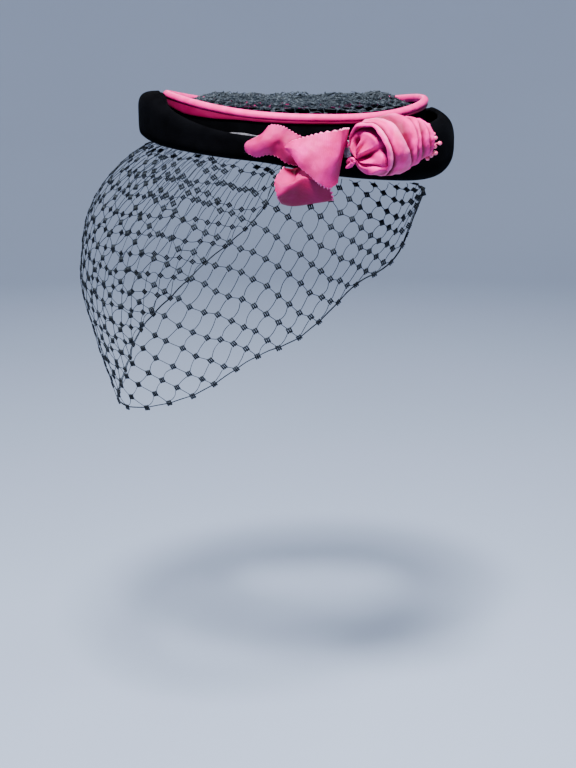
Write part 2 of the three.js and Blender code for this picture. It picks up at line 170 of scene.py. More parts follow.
def roundThread(radius, sides):  # Geometry Nodes that turn loose edges into thread
    group = bpy.data.node_groups.new("roundThread", "GeometryNodeTree")
    group.interface.new_socket("Geometry", in_out="INPUT", socket_type="NodeSocketGeometry")
    group.interface.new_socket("Geometry", in_out="OUTPUT", socket_type="NodeSocketGeometry")
    start = group.nodes.new("NodeGroupInput")
    line = group.nodes.new("GeometryNodeMeshToCurve")
    circle = group.nodes.new("GeometryNodeCurvePrimitiveCircle")
    circle.inputs["Resolution"].default_value = sides
    circle.inputs["Radius"].default_value = radius * mm
    tube = group.nodes.new("GeometryNodeCurveToMesh")
    tube.inputs["Fill Caps"].default_value = True
    end = group.nodes.new("NodeGroupOutput")
    group.links.new(start.outputs["Geometry"], line.inputs["Mesh"])
    group.links.new(line.outputs["Curve"], tube.inputs["Curve"])
    group.links.new(circle.outputs["Curve"], tube.inputs["Profile Curve"])
    group.links.new(tube.outputs["Mesh"], end.inputs["Geometry"])
    return group


def threadsFrom(paths, radius, sides=4):  # a bmesh of round threads along paths of points in millimetres
    wire = bmesh.new()
    for path in paths:
        verts = [wire.verts.new(point * mm) for point in path]
        for first, second in zip(verts, verts[1:]):
            wire.edges.new((first, second))
    mesh = bpy.data.meshes.new("wire")
    wire.to_mesh(mesh)
    wire.free()
    holder = bpy.data.objects.new("wire", mesh)
    scene.collection.objects.link(holder)
    holder.modifiers.new("thread", "NODES").node_group = roundThread(radius, sides)
    spun = bpy.data.meshes.new_from_object(holder.evaluated_get(bpy.context.evaluated_depsgraph_get()))
    threads = bmesh.new()
    threads.from_mesh(spun)
    bpy.data.objects.remove(holder)
    bpy.data.meshes.remove(mesh)
    bpy.data.meshes.remove(spun)
    return threads


def pour(source, target):  # moves one bmesh into another
    mesh = bpy.data.meshes.new("pour")
    source.to_mesh(mesh)
    source.free()
    target.from_mesh(mesh)
    bpy.data.meshes.remove(mesh)


knotForm = {
    "bars": 3,
    "batch": 20,
    "sides": 5,
    # how far bars and cross threads spread, as shares of the knot's size
    "barSpread": 0.72,
    "crossSpread": 0.62,
    # how thick the cross threads are and how far they lie behind, as shares of a bar's thickness
    "crossThick": 0.6,
    "crossBehind": 0.5,
}


def addKnots(net, knots, size, thick):  # in small batches, because an operator slows as its mesh grows
    for first in range(0, len(knots), knotForm["batch"]):
        few = bmesh.new()
        for place, across, up in knots[first:first + knotForm["batch"]]:
            addKnot(few, place, across, up, size, thick)
        pour(few, net)


def addKnot(net, place, across, up, size, thick):  # a woven dot of the net: upright bars over two cross threads
    across = across.normalized()
    face = across.cross(up).normalized()
    up = face.cross(across)
    bars = knotForm["bars"]
    for k in range(bars + 2):
        upright = k < bars
        axis, aside = (up, across) if upright else (across, up)
        if upright:
            shift, lift, wide = size * (k / (bars - 1) - 0.5) * knotForm["barSpread"], 0.0, thick * mm
        else:
            shift = size * (k - bars - 0.5) * knotForm["crossSpread"]
            lift, wide = -thick * knotForm["crossBehind"], thick * knotForm["crossThick"] * mm
        turned = Matrix((aside, axis.cross(aside), axis)).transposed().to_4x4()
        middle = place + aside * shift + face * lift
        bmesh.ops.create_cone(net, cap_ends=True, segments=knotForm["sides"], radius1=wide, radius2=wide,
                              depth=size * mm, matrix=Matrix.Translation(middle * mm) @ turned)


print("finishes")


def newFinish(name, base, roughness, **sockets):
    finish = bpy.data.materials.new(name)
    finish.use_nodes = True
    shader = finish.node_tree.nodes["Principled BSDF"]
    shader.inputs["Base Color"].default_value = (*base, 1)
    shader.inputs["Roughness"].default_value = roughness
    for socket, value in sockets.items():
        shader.inputs[socket.replace("_", " ")].default_value = value
    return finish


def addNode(finish, kind, place, **settings):  # settings starting with a capital are sockets
    node = finish.node_tree.nodes.new(kind)
    node.location = place
    for key, value in settings.items():
        if key[0].isupper():
            node.inputs[key.replace("_", " ")].default_value = value
        else:
            setattr(node, key, value)
    return node


def link(finish, source, output, target, socket):
    finish.node_tree.links.new(source.outputs[output], target.inputs[socket])


def mottle(finish, scale, dark, light, low=0.35, high=0.65, detail=3):  # two tones in soft patches
    shader = finish.node_tree.nodes["Principled BSDF"]
    coords = addNode(finish, "ShaderNodeTexCoord", (-900, 200))
    patches = addNode(finish, "ShaderNodeTexNoise", (-700, 200), Scale=scale, Detail=detail)
    ramp = addNode(finish, "ShaderNodeValToRGB", (-450, 200))
    ramp.color_ramp.elements[0].position = low
    ramp.color_ramp.elements[1].position = high
    ramp.color_ramp.elements[0].color = (*dark, 1)
    ramp.color_ramp.elements[1].color = (*light, 1)
    link(finish, coords, "Object", patches, "Vector")
    link(finish, patches, "Fac", ramp, "Fac")
    link(finish, ramp, "Color", shader, "Base Color")
    return coords


def grain(finish, coords, scale, strength, depth, detail=2, before=None):  # bump from fine noise
    shader = finish.node_tree.nodes["Principled BSDF"]
    fine = addNode(finish, "ShaderNodeTexNoise", (-700, -200), Scale=scale, Detail=detail)
    bump = addNode(finish, "ShaderNodeBump", (-250, -200), Strength=strength, Distance=depth * mm)
    link(finish, coords, "Object", fine, "Vector")
    link(finish, fine, "Fac", bump, "Height")
    if before:
        link(finish, before, "Normal", bump, "Normal")
    link(finish, bump, "Normal", shader, "Normal")


def shadeAndPaleMix(finish, deep, pale):  # shifts the base colour by the mesh's marks: deep colour for painted shade, pale colour at cut edges and for painted highlight
    shader = finish.node_tree.nodes["Principled BSDF"]
    source = shader.inputs["Base Color"].links[0].from_socket
    shadeAndPale = addNode(finish, "ShaderNodeAttribute", (-900, 500), attribute_name="shadeAndPale")
    for k, (sign, colour) in enumerate(((-1, deep), (1, pale))):
        share = addNode(finish, "ShaderNodeMath", (-600, 500 + 200 * k), operation="MULTIPLY", use_clamp=True)
        share.inputs[1].default_value = sign
        shift = addNode(finish, "ShaderNodeMix", (-300, 300 + 200 * k), data_type="RGBA")
        shift.inputs[7].default_value = (*colour, 1)
        finish.node_tree.links.new(shadeAndPale.outputs["Fac"], share.inputs[0])
        finish.node_tree.links.new(share.outputs[0], shift.inputs[0])
        finish.node_tree.links.new(source, shift.inputs[6])
        source = shift.outputs[2]
    finish.node_tree.links.new(source, shader.inputs["Base Color"])


def weaveBump(finish, pitch, strength, depth):  # warp and weft from the weave map, pitch in millimetres
    oneApart = 0.314  # the wave texture's scale for bands one unit apart
    uv = addNode(finish, "ShaderNodeUVMap", (-950, -500), uv_map="weave")
    both = addNode(finish, "ShaderNodeMath", (-450, -500), operation="ADD")
    for k, direction in enumerate(("X", "Y")):
        ribs = addNode(finish, "ShaderNodeTexWave", (-700, -450 - 300 * k), bands_direction=direction,
                       Scale=oneApart / pitch[k], Distortion=0.6, Detail=1.0, Detail_Scale=0.4)
        link(finish, uv, "UV", ribs, "Vector")
        finish.node_tree.links.new(ribs.outputs["Fac"], both.inputs[k])
    bump = addNode(finish, "ShaderNodeBump", (-450, -350), Strength=strength, Distance=depth * mm)
    link(finish, both, "Value", bump, "Height")
    return bump


pileVelvet = newFinish("pileVelvet", (0.001, 0.001, 0.0014), 0.95, Sheen_Weight=0.012, Sheen_Roughness=0.3,
                       Sheen_Tint=(0.16, 0.19, 0.27, 1), Specular_IOR_Level=0.01)
grain(pileVelvet, mottle(pileVelvet, 70, (0.0005, 0.0005, 0.0008), (0.0014, 0.0015, 0.0021)), 2600, 0.8, 0.35)

trimSatin = newFinish("trimSatin", (0.7, 0.004, 0.2), 0.4, Sheen_Weight=0.02, Sheen_Roughness=0.35,
                      Sheen_Tint=(1.0, 0.2, 0.6, 1), Specular_IOR_Level=0.35, Specular_Tint=(1.0, 0.4, 0.7, 1),
                      Anisotropic=0.3)
grain(trimSatin, mottle(trimSatin, 160, (0.62, 0.003, 0.16), (0.78, 0.006, 0.24)), 900, 0.3, 0.12,
      before=weaveBump(trimSatin, (0.35, 0.35), 0.35, 0.06))
# painted shade colour and pale edge colour for the satin edge
shadeAndPaleMix(trimSatin, (0.06, 0.0, 0.006), (0.9, 0.2, 0.45))

ribbonSatin = newFinish("ribbonSatin", (0.7, 0.003, 0.22), 0.4, Sheen_Weight=0.02, Sheen_Roughness=0.4,
                        Sheen_Tint=(1.0, 0.2, 0.7, 1), Specular_IOR_Level=0.33, Specular_Tint=(1.0, 0.4, 0.7, 1),
                        Anisotropic=0.35)
grain(ribbonSatin, mottle(ribbonSatin, 120, (0.56, 0.002, 0.14), (0.82, 0.005, 0.28)), 520, 0.4, 0.25,
      before=weaveBump(ribbonSatin, (0.6, 0.4), 0.55, 0.1))
# painted shade colour and pale edge colour for the ribbon
shadeAndPaleMix(ribbonSatin, (0.1, 0.0, 0.008), (1.0, 0.3, 0.6))

beadGloss = newFinish("beadGloss", (0.7, 0.045, 0.2), 0.28, Specular_IOR_Level=0.6, Coat_Weight=0.3,
                      Coat_Roughness=0.2, Subsurface_Weight=0.1, Subsurface_Scale=0.001)
grain(beadGloss, mottle(beadGloss, 500, (0.6, 0.03, 0.14), (0.78, 0.07, 0.26)), 1800, 0.3, 0.1)

paleLining = newFinish("paleLining", (0.08, 0.08, 0.095), 0.8, Sheen_Weight=0.15, Specular_IOR_Level=0.25)
grain(paleLining, mottle(paleLining, 260, (0.03, 0.03, 0.04), (0.14, 0.14, 0.16)), 900, 0.5, 0.2,
      before=weaveBump(paleLining, (0.5, 0.5), 0.5, 0.1))

netThread = newFinish("netThread", (0.002, 0.003, 0.004), 0.5, Specular_IOR_Level=0.22,
                      Specular_Tint=(0.7, 0.85, 1.0, 1))
grain(netThread, mottle(netThread, 300, (0.001, 0.0014, 0.002), (0.004, 0.006, 0.01)), 2500, 0.4, 0.1)

# a paler copy of the net thread: painted light, as where the heaped crown net catches the light
litCrownThread = newFinish("litCrownThread", (0.008, 0.011, 0.016), 0.45, Specular_IOR_Level=0.35,
                       Specular_Tint=(0.7, 0.85, 1.0, 1))
grain(litCrownThread, mottle(litCrownThread, 300, (0.003, 0.005, 0.008), (0.016, 0.022, 0.03)), 2500, 0.4, 0.1)

stemTape = newFinish("stemTape", (0.16, 0.13, 0.19), 0.7, Sheen_Weight=0.2, Specular_IOR_Level=0.3)
grain(stemTape, mottle(stemTape, 400, (0.1, 0.08, 0.13), (0.24, 0.2, 0.28)), 1200, 0.6, 0.2)

print("velvet ring")
ring = {
    "length": 153,
    "width": 133,
    "turn": -20,
    "collarWall": 2,
    "collarSquare": 0.3,
    "gap": 0.3,
}
cuff = {
    "height": 35,
    "depth": 18.5,
    "wall": 3,
    "around": 200,
    "stops": (0.5, 0.58, 0.95),  # where round the section the outside, the rolled edge and the trough end
    "footRound": 0.6,
    "dimples": [(17, 4, 0.35), (6, 9, 0.15)],  # size, seed and height
    "dimplesFrom": (1.8, 6),  # how far out from the collar they start, and over how much they grow
    # angle from the ring's front; foot and top as shares of height; bulge as a share of depth; squareness; lean
    "sections": [
        (0, 0.23, 1.0, 0.93, 0.45, 87),
        (15, 0.17, 0.98, 0.92, 0.47, 82),
        (26, 0.13, 0.78, 0.9, 0.5, 58),
        (38, 0.09, 0.61, 0.86, 0.53, 42),
        (52, 0.04, 0.46, 0.81, 0.55, 33),
        (70, -0.03, 0.37, 0.78, 0.6, 28),
        (95, -0.23, 0.37, 0.78, 0.6, 28),
        (120, -0.35, 0.4, 0.86, 0.65, 32),
        (145, -0.42, 0.54, 0.96, 0.75, 50),
        (180, -0.4, 0.7, 1.0, 0.85, 74),
    ],
}
cuffInner = ring["collarWall"] / 2 + ring["gap"]


def ringPoint(angle, out, z):  # by the angle on the ring, the distance out from the collar's middle and the height
    turn = math.radians(angle)
    wide, long = ring["width"] / 2, ring["length"] / 2
    outward = Vector((math.sin(turn) * long, -math.cos(turn) * wide, 0)).normalized()
    point = Vector((wide * math.sin(turn), -long * math.cos(turn), z)) + outward * out
    return Matrix.Rotation(math.radians(ring["turn"]), 3, "Z") @ point


def fromFront(angle):  # both sides of the ring are alike
    return abs((angle + 180) % 360 - 180)


def cuffAt(angle):  # foot, top, bulge, squareness and lean
    foot, top, bulge, square, lean = rowAt(cuff["sections"], fromFront(angle))
    return foot * cuff["height"], top * cuff["height"], bulge * cuff["depth"], square, lean


def cuffCurve(angle, share, inset=0.0):  # (out, z) on the cuff's section, from its foot (0) to its top edge (1)
    foot, top, bulge, square, lean = cuffAt(angle)
    turn = math.radians(mix(-90, lean, share))
    rise = math.copysign(abs(math.sin(turn)) ** square, math.sin(turn))
    peak = math.sin(math.radians(lean)) ** square
    z = foot + (top - foot) * (rise + 1) / (peak + 1)
    out = cuffInner + (bulge - cuffInner - inset) * max(math.cos(turn), 0) ** square
    return Vector((out, z - inset * math.sin(turn), 0))


def cuffSurface(u, v):
    # once round the section: up the outside, over the rolled edge, down the trough, round the foot
    angle = 360 * u
    outside, rolled, trough = cuff["stops"]
    if v < outside:
        spot = cuffCurve(angle, (ease(v / outside) + v / outside) / 2)
    elif v < rolled or v > trough:
        share, t = (1, (v - outside) / (rolled - outside)) if v < rolled else (0, 1 - (v - trough) / (1 - trough))
        face, back = cuffCurve(angle, share), cuffCurve(angle, share, cuff["wall"])
        middle, half = (face + back) / 2, (face - back) / 2
        beyond = Vector((-half.y, half.x, 0)) * (1 if share else -cuff["footRound"])
        spot = middle + half * math.cos(math.pi * t) + beyond * math.sin(math.pi * t)
    else:
        spot = cuffCurve(angle, 1 - (v - rolled) / (trough - rolled), cuff["wall"])
    point = ringPoint(angle, spot.x, spot.y)
    start, fade = cuff["dimplesFrom"]
    dimple = ripples(point, cuff["dimples"]) * ease((spot.x - start) / fade)
    return point + (ringPoint(angle, spot.x + 1, spot.y) - point) * dimple


velvetCuff = addPiece("velvetCuff", clothGrid(cuff["around"], 64, cuffSurface, (480, 110)), pileVelvet,
                      ["velvet_cuff"])

piping = {
    "diameter": 4.6,
    "height": 31.6,
    "dip": 8.5,
    "dipPower": 2.6,
    "tilt": 1.8,
    "flange": 0.7,
    # how far the flange hangs below the bead's middle, by the angle from the ring's front
    "drops": [(0, 4.5), (14, 6), (28, 7), (44, 5.6), (60, 3.6), (180, 3.2)],
    "around": 256,
    "beadShare": 0.68,  # how much of the section's outline is bead
    "overlap": 0.25,  # how far the bead closes over the flange, in radians
    "flangeTop": 0.8,  # where it meets the bead, as a share of the bead's radius
    "fold": 1.2,
    "waver": (0.0315, 0.105),  # how far bead and flange rise and fall
    "pucker": 0.14,
    "slant": (1.3, 9, 6, 2),
}


def pipingZ(angle):  # the satin edge is high at the ring's front and back and dips at both sides
    along = math.cos(math.radians(angle))
    return piping["height"] + piping["tilt"] * along - piping["dip"] * (1 - abs(along) ** piping["dipPower"])


def collarSurface(u, v):
    angle = 360 * u
    half = ring["collarWall"] / 2
    foot = cuffCurve(angle, 0).y
    top = pipingZ(angle) - piping["diameter"] / 2 - ring["gap"]
    turn = 2 * math.pi * v
    square = ring["collarSquare"]
    out = half * math.copysign(abs(math.cos(turn)) ** square, math.cos(turn))
    z = mix(foot, top, 0.5 + 0.5 * math.copysign(abs(math.sin(turn)) ** square, math.sin(turn)))
    return ringPoint(angle, out, z)


addPiece("velvetCollar", clothGrid(160, 28, collarSurface, (450, 80)), pileVelvet, ["velvet_collar"])


def pipingSurface(u, v):  # the corded bead, then its flange down the outside and back up the inside
    angle = 360 * u
    radius, centre, bead = piping["diameter"] / 2, pipingZ(angle), piping["beadShare"]
    inner = cuffInner
    outer = inner + piping["flange"]
    top = centre - radius * piping["flangeTop"]
    low = centre - rowAt(piping["drops"], fromFront(angle))[0]
    tuck = min(piping["fold"], (top - low) / 2)
    if v < bead:
        turn = mix(-math.acos(outer / radius) - piping["overlap"], 2 * math.pi - math.acos(inner / radius), v / bead)
        spot = Vector((radius * math.cos(turn), centre + radius * math.sin(turn), 0))
    else:
        stops = [(inner, top), (inner, low + tuck), (mix(inner, outer, 0.5), low), (outer, low + tuck), (outer, top)]
        spot = splineAt([Vector((*stop, 0)) for stop in stops], (v - bead) / (1 - bead))
    spot.y += piping["waver"][v >= bead] * math.sin(math.radians(angle * 5))
    point = ringPoint(angle, spot.x, spot.y)
    around, across, along, seed = piping["slant"]
    slant = Vector((angle * around + v * across, v * along, seed))
    return point + (ringPoint(angle, spot.x + 1, spot.y) - point) * noise.noise(slant) * piping["pucker"]


def flangeShade(u, v):  # painted shade: the flange lies in the bead's shade
    return -0.85 * (v > piping["beadShare"] + 0.01)


addPiece("satinPiping", clothGrid(piping["around"], 40, pipingSurface, (450, 30), flangeShade), trimSatin,
         ["satin_piping"])

lining = {
    "wall": 0.8,
    "tuck": 7,
    "from": 44,
    "to": 136,
    # how far it shows above the cuff, by the angle from the ring's front
    "rises": [(44, 0.0), (50, 1.1), (58, 2.6), (70, 2.5), (100, 2.2), (120, 1.4), (136, 0.0)],
    # its uneven edge and its waver, as (height, speed)
    "ragged": (0.12, 41),
    "waver": (0.12, 73),
}


def liningSurface(u, v):
    angle = mix(lining["from"], lining["to"], u)
    edge = cuffCurve(angle, 1, cuff["wall"])
    ragged, waver = (height * math.sin(u * speed) for height, speed in (lining["ragged"], lining["waver"]))
    top = edge.y + rowAt(lining["rises"], angle)[0] * (1 + ragged)
    out = edge.x - ring["gap"] - lining["wall"] / 2 + waver
    return ringPoint(angle, out, mix(edge.y - lining["tuck"], top, v))


addPiece("liningEdge", clothGrid(90, 10, liningSurface, (120, 9)), paleLining, ["cuff_lining"],
         wall=lining["wall"])

print("crown net")
crown = {
    "rise": 7.5,
    "netWall": 1.6,
    "thread": 0.17,
    "knot": 2.4,
    "bar": 0.32,
    "crumple": [(11, 3, 3.0), (5, 8, 1.6)],  # size, seed and height
    "heap": 6.0,  # how high the net is heaped against the far satin edge
    "heapAt": (0.84, 0.17),  # share of the way out, and how widely it spreads
    "heapEnds": (-178, -22, 25),  # from and to these angles, over so many degrees
    # the near side lies open: layers laid below 0 stop at this share of the way out, where the heap is least
    "openFrom": (0.4, 0.1),
    # one bunched layer each: turn, half mesh across and along, lift, and the least heap where it lies
    "layers": [(12, 4.6, 5.4, 0.8, 0), (-33, 5.2, 4.4, -0.6, 0), (70, 5.6, 5.0, -2.0, 0),
               (40, 3.0, 3.4, 1.0, 0.12), (-8, 3.2, 2.8, -1.5, 0.12), (25, 2.9, 3.1, -4.5, 0.2),
               (-58, 2.4, 2.5, -4.0, 0.06)],
}


def crownHeap(share, angle):
    middle, spread = crown["heapAt"]
    first, last, fade = crown["heapEnds"]
    return math.exp(-(((share - middle) / spread) ** 2)) * ease((last - angle) / fade) * ease((angle - first) / fade)


def crownPoint(x, y, lift):  # onto the dome inside the satin edge; a point outside it is pulled in to the edge
    flat = Matrix.Rotation(math.radians(-ring["turn"]), 3, "Z") @ Vector((x, y, 0))
    inset = ring["collarWall"] / 2 + ring["gap"] + crown["netWall"] / 2
    share = math.hypot(flat.x / (ring["width"] / 2 - inset), flat.y / (ring["length"] / 2 - inset))
    angle = math.degrees(math.atan2(flat.x / ring["width"], -flat.y / ring["length"]))
    if share > 1:
        flat /= share
        share = 1.0
    middle = piping["height"] - piping["dip"] + crown["rise"]
    z = mix(middle, pipingZ(angle) - piping["diameter"], share ** 2.2)
    heap = crownHeap(share, angle)
    z += heap * crown["heap"]
    free = 1 - share ** 5
    spot = Vector((x, y, lift * 7))
    z += (ripples(spot, crown["crumple"]) + lift) * free
    flat.z = z
    return Matrix.Rotation(math.radians(ring["turn"]), 3, "Z") @ flat, share, heap


def crownNetting():
    paths, knots = [], []
    openShare, openHeap = crown["openFrom"]
    for turn, halfAcross, halfAlong, lift, least in crown["layers"]:
        spin = Matrix.Rotation(math.radians(turn), 3, "Z")
        reach = int(ring["length"] / 2 / min(halfAcross, halfAlong)) + 3

        def at(i, j):
            warp = Vector((i * 0.23, j * 0.21, lift))
            shift = Vector((noise.noise(warp), noise.noise(warp + Vector((9, 4, 2))), 0)) * 6
            return spin @ (Vector((i * halfAcross, j * halfAlong, 0)) + shift)

        for i in range(-reach, reach + 1):
            for j in range(-reach, reach + 1):
                if (i + j) % 2:
                    continue
                place, share, heap = crownPoint(*at(i, j).xy, lift)
                if heap < least or (lift < 0 and share > openShare and heap < openHeap):
                    continue
                if share < 0.97:
                    beside, above = crownPoint(*at(i + 0.3, j).xy, lift)[0], crownPoint(*at(i, j + 0.3).xy, lift)[0]
                    tip = Vector((chance.uniform(-1, 1), chance.uniform(-1, 1), chance.uniform(0, 1.2))) * 0.8
                    knots.append((place + tip * 0.4, beside - place + tip * 0.4, above - place + tip * 0.5))
                for step in (-1, 1):
                    ends = [crownPoint(*at(i + t, j + t * step).xy, lift) for t in (0.14, 0.5, 0.86)]
                    if min(end[1] for end in ends) < 1:
                        sag = Vector((0, 0, chance.uniform(-0.7, 1.1)))
                        paths.append([ends[0][0], ends[1][0] + sag, ends[2][0]])
    net = threadsFrom(paths, crown["thread"], 3)
    addKnots(net, knots, crown["knot"], crown["bar"])
    return net


# the crown net in the paler, painted-light copy of the thread
addPiece("crownNetting", crownNetting(), litCrownThread, ["crown_net"])

print("face veil")
veil = {
    "drop": 150,
    "reach": 115,
    "standOff": 130,
    "puff": 0.8,
    "halfColumns": 60,
    "thread": 0.2,
    "hemThread": 0.28,
    "knot": 3.2,
    "bar": 0.48,
    "loose": 0.13,  # how far a knot strays, in half meshes
    "leave": 0.17,  # where threads leave a knot, in half meshes
    "bow": 0.13,
    "folds": [(60, 35, 11, 5, 2.2), (60, 20, 4, 2, 1.0)],  # across, along, size, seed and height
    # side (-1 the wearer's right, 1 left); hem and belly as shares of standOff; drop as a share of drop
    "ribs": [
        (-1.0, 0.7, 0.74, 0.16),
        (-0.9, 0.74, 0.8, 0.36),
        (-0.72, 0.8, 0.9, 0.56),
        (-0.5, 0.84, 0.97, 0.77),
        (-0.25, 0.82, 1.0, 0.91),
        (0.0, 0.87, 0.93, 0.96),
        (0.2, 0.76, 0.83, 0.88),
        (0.385, 0.69, 0.74, 0.725),
        (0.54, 0.65, 0.7, 0.64),
        (0.73, 0.63, 0.68, 0.46),
        (0.89, 0.65, 0.675, 0.36),
        (1.0, 0.675, 0.68, 0.14),
    ],
    # half meshes from the hem up to the ring, by the angle round it
    "halfRows": [(-118, 6), (-98, 9), (-72, 15), (-50, 20), (-30, 22), (0, 22), (26, 18), (62, 11.5), (98, 10),
                 (118, 8)],
}


def veilSurface(side, v, inside=0.0):
    angle = side * veil["reach"]
    hem, belly, drop = rowAt(veil["ribs"], side)
    foot, top, bulge, square, lean = cuffAt(angle - ring["turn"])
    rim = ringPoint(angle - ring["turn"], mix(cuffInner, bulge, 0.4), 0)
    toward = Vector((math.sin(math.radians(angle)), -math.cos(math.radians(angle)), 0))
    w = max(v, 0) ** veil["puff"]
    away = veil["standOff"] * (belly * 4 * w * (1 - w) + hem * w * (2 * w - 1))
    point = rim * ((1 - w) * (1 - 2 * w)) + toward * away
    point.z = mix(foot - 1.05, -drop * veil["drop"], v)
    fold = sum(waves(Vector((side * across, v * along, 0)), size, seed) * height
               for across, along, size, seed, height in veil["folds"])
    return point + toward * (fold * ease(v * 4) - inside)


def veilRowsAt(i):
    return rowAt(veil["halfRows"], mix(-1, 1, i / veil["halfColumns"]) * veil["reach"])[0]


def veilAt(i, q, inside=0.0):  # i counts half meshes round the ring, q half meshes up from the hem
    return veilSurface(mix(-1, 1, i / veil["halfColumns"]), max(1 - q / veilRowsAt(i), 0), inside)


def veilPath(start, end, inside, steps=5):  # a thread between two places, ended where it runs in under the ring
    bow = chance.uniform(-veil["bow"], veil["bow"])
    path = []
    for k in range(steps + 1):
        t = k / steps
        bend = bow * math.sin(math.pi * t)
        i, q = mix(start[0], end[0], t) + bend, mix(start[1], end[1], t) - bend
        path.append(veilAt(i, q, inside))
        if q > veilRowsAt(i):
            break
    return path if len(path) > 1 else None


def veilNetting(first, last, lowest, inside, shift):
    places = {}
    for i in range(first, last + 1):
        for q in range(veilBottom(i, lowest), int(veilRowsAt(i)) + 2):
            if (i + q) % 2 == 0:
                stray = veil["loose"] * (0.3 if q == 0 or i in (0, veil["halfColumns"]) else 1)
                places[i, q] = (i + shift + chance.uniform(-stray, stray), q + chance.uniform(-stray, stray))
    paths, knots, leave = [], [], veil["leave"]
    for (i, q), place in places.items():
        if place[1] > veilRowsAt(place[0]):
            continue
        knots.append(place)
        for step in (-1, 1):
            end = places.get((i + 1, q + step))
            if end:
                paths.append(veilPath((place[0] + leave, place[1] + leave * step),
                                      (end[0] - leave, end[1] - leave * step), inside))
            end = places.get((i - 1, q + 1)) if step > 0 else None
            if end and end[1] > veilRowsAt(end[0]):  # that knot is past the rim, so this thread starts here
                paths.append(veilPath((place[0] - leave, place[1] + leave), end, inside))
    return [path for path in paths if path], knots


def veilBottom(i, lowest):
    return 0 if lowest is None else max(0, int(veilRowsAt(i) - lowest))


def faceVeiling():
    columns = veil["halfColumns"]
    within = 3.0
    paths, knots = veilNetting(0, columns, None, 0.0, 0.0)
    extra, gathered = veilNetting(28, 38, 3, within, 0.5)  # a second layer, gathered in under the ring's front
    net = threadsFrom(paths + extra, veil["thread"])
    hem = [[veilAt(mix(k, k + 2, t / 4), 0.06 * math.sin(math.pi * t / 4), inside) for t in range(5)]
           for k in range(0, columns, 2) for inside in (0.0, 0.7)]
    sides = [[veilAt(i, mix(q, q + 2, t / 4), inside) for t in range(5)]
             for i in (0, columns) for q in range(0, int(veilRowsAt(i)), 2) for inside in (0.0, 0.7)]
    pour(threadsFrom(hem + sides, veil["hemThread"]), net)
    dots = []
    for group, inside in ((knots, 0.0), (gathered, within)):
        for i, q in group:
            place = veilAt(i, q, inside)
            dots.append((place, veilAt(i + 0.3, q, inside) - place, veilAt(i, q + 0.3, inside) - place))
    addKnots(net, dots, veil["knot"], veil["bar"])
    return net


addPiece("faceVeiling", faceVeiling(), netThread, ["face_veil"])

print("bow")
ribbon = {
    "wall": 0.45,
    "step": 1.0,
    "across": 22,
    "tooth": 1.2,
    "crumple": [(8, 6, 0.525), (2.8, 1, 0.225)],  # size, seed and height
    "bowAt": 82,
}
# fold lines of each part, as points (along the ring towards its back, up, out from the velvet) across the ribbon
bowTail = [
    [(1.8, 14.8, 5.0), (-1.6, 10.3, 6.2), (-2.1, 4.4, 6.2), (-1.4, -1.2, 4.0)],
    [(-3.1, 17.2, 5.0), (-5.9, 12.3, 6.8), (-7.0, 6.7, 7.2), (-7.4, 0.2, 3.6)],
    [(-7.4, 19.9, 5.0), (-10.2, 14.1, 6.6), (-11.3, 10.9, 5.6), (-12.2, 3.4, 3.0)],
    [(-11.7, 21.1, 4.6), (-15.1, 15.8, 7.6), (-16.2, 10.5, 7.6), (-17.7, 4.7, 3.2)],
    [(-16.0, 20.9, 3.4), (-19.4, 15.3, 7.4), (-21.6, 10.0, 7.8), (-22.9, 3.5, 3.8)],
    [(-20.1, 16.3, 2.6), (-23.9, 13.1, 5.6), (-25.6, 9.4, 6.2), (-26.4, 4.7, 3.6)],
    [(-28.2, 12.2, 2.8), (-29.8, 10.6, 3.4), (-30.0, 8.4, 3.6), (-29.1, 6.3, 3.0)],
]
bowPanel = [
    [(-8.5, 9.7, 11.0), (-8.4, 9.4, 11.5), (-8.3, 9.2, 12.0), (-8.2, 8.8, 11.5), (-8.0, 8.4, 11.0)],
    [(-5.1, 13.0, 13.0), (-5.2, 11.3, 14.0), (-5.2, 9.5, 14.5), (-5.2, 7.6, 14.0), (-5.1, 5.9, 13.0)],
    [(-0.4, 14.7, 14.0), (-0.4, 11.1, 15.5), (-0.5, 7.2, 16.0), (-0.7, 3.2, 15.5), (-0.9, -0.7, 14.0)],
    [(4.9, 16.4, 15.0), (4.8, 11.2, 16.5), (4.8, 5.9, 17.0), (4.6, 0.6, 16.5), (4.5, -5.2, 15.0)],
    [(11.3, 18.1, 15.5), (11.2, 11.2, 17.0), (10.2, 4.4, 17.5), (9.2, -2.6, 17.0), (8.2, -8.9, 15.5)],
    [(20.6, 19.5, 15.8), (20.2, 12.2, 16.8), (19.3, 5.1, 16.8), (15.7, -1.7, 15.8), (10.4, -10.9, 14.4)],
    [(23.6, 20.0, 12.6), (22.7, 11.9, 12.8), (21.3, 3.6, 12.6), (18.8, -4.7, 12.2), (15.2, -13.1, 12.0)],
    [(26.3, 19.7, 9.0), (24.7, 12.1, 9.0), (22.8, 3.5, 8.5), (21.3, -4.1, 8.5), (20.1, -10.5, 9.0)],
    [(25.9, 18.4, 4.5), (24.3, 11.2, 4.5), (22.2, 3.1, 4.5), (20.6, -4.5, 4.5), (19.6, -10.1, 5.0)],
    [(22.6, 16.8, 1.5), (21.3, 10.9, 1.3), (20.0, 3.9, 1.3), (17.9, -2.6, 1.4), (16.2, -8.0, 1.8)],
]
